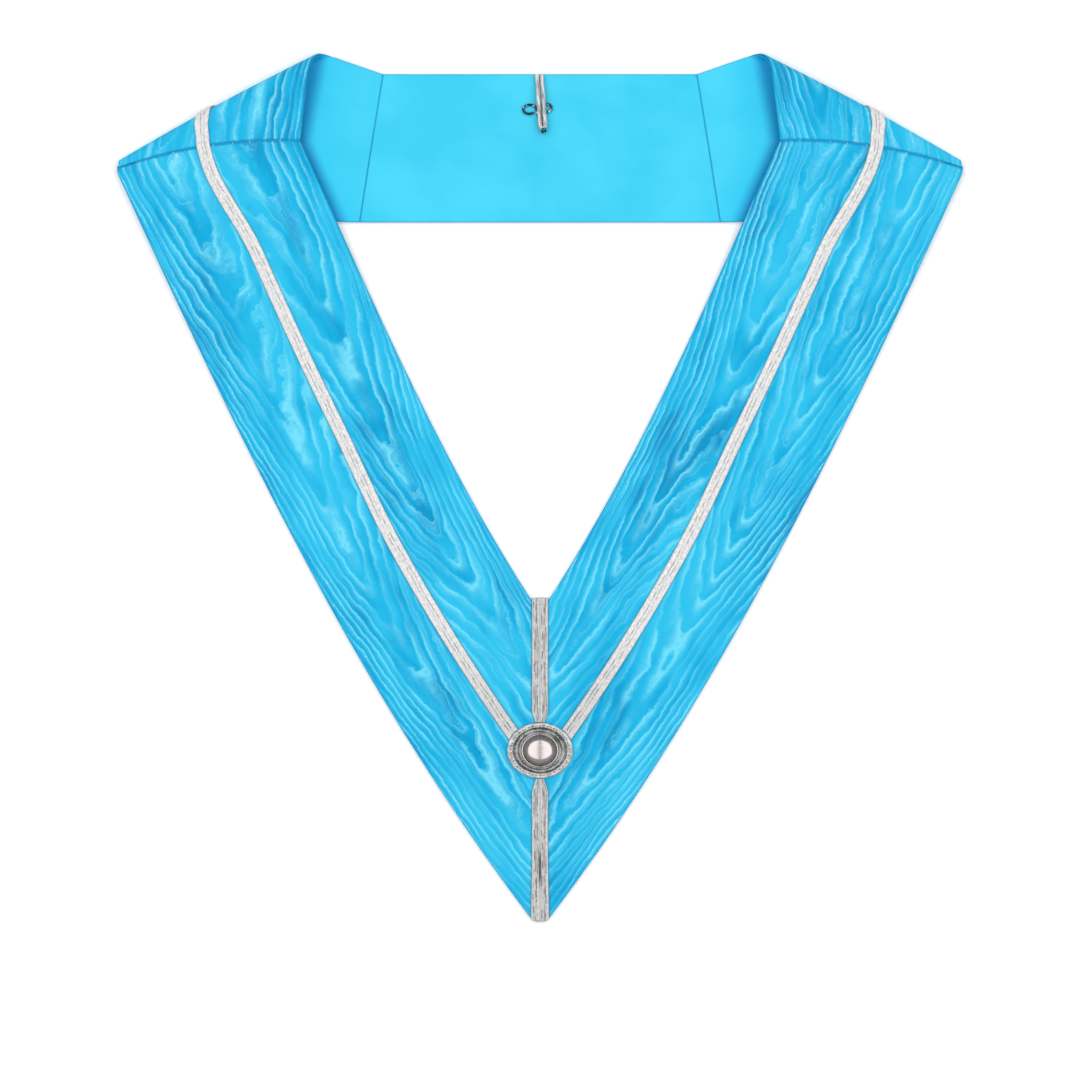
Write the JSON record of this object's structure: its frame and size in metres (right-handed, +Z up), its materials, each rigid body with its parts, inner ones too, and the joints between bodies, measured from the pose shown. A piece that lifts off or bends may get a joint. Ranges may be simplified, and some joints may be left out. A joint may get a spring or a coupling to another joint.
{
  "type": "masonic collar",
  "caption": "Regalia collar of moire ribbon laid flat, folded at the shoulders, with silver braid, a button rosette at the front point and a loop and hook at the back.",
  "frame": {"origin": "middle of the collar's outline, on the surface that it lies on", "axes": "+X across the collar to the right as seen from above, +Y from the front point to the back band, +Z up out of the surface that it lies on"},
  "size_m": [0.5348, 0.547, 0.013],
  "materials": {
    "moire_ribbon": "watered silk-like ribbon, soft sheen",
    "satin_lining": "plain satin lining, soft sheen",
    "silver_braid": "metallic thread braid",
    "dark_braid": "darkened metallic braid",
    "polished_silver": "polished",
    "dark_nickel": "dark plated, glossy"
  },
  "bodies": {
    "root": {"back_ribbon": "moire_ribbon", "back_lining": "satin_lining", "shoulder_ribbon_left": "moire_ribbon", "shoulder_lining_left": "satin_lining", "front_left": "moire_ribbon", "braid_left": "silver_braid", "shoulder_ribbon_right": "moire_ribbon", "shoulder_lining_right": "satin_lining", "front_right": "moire_ribbon", "braid_right": "silver_braid", "centre_braid_upper": "silver_braid", "centre_braid_lower": "silver_braid", "rosette_edge_braid": "silver_braid", "rosette_coil": "dark_braid", "button_rim": "polished_silver", "button": "polished_silver", "back_loop": "silver_braid", "back_hook": "dark_nickel"}
  },
  "joints": []
}
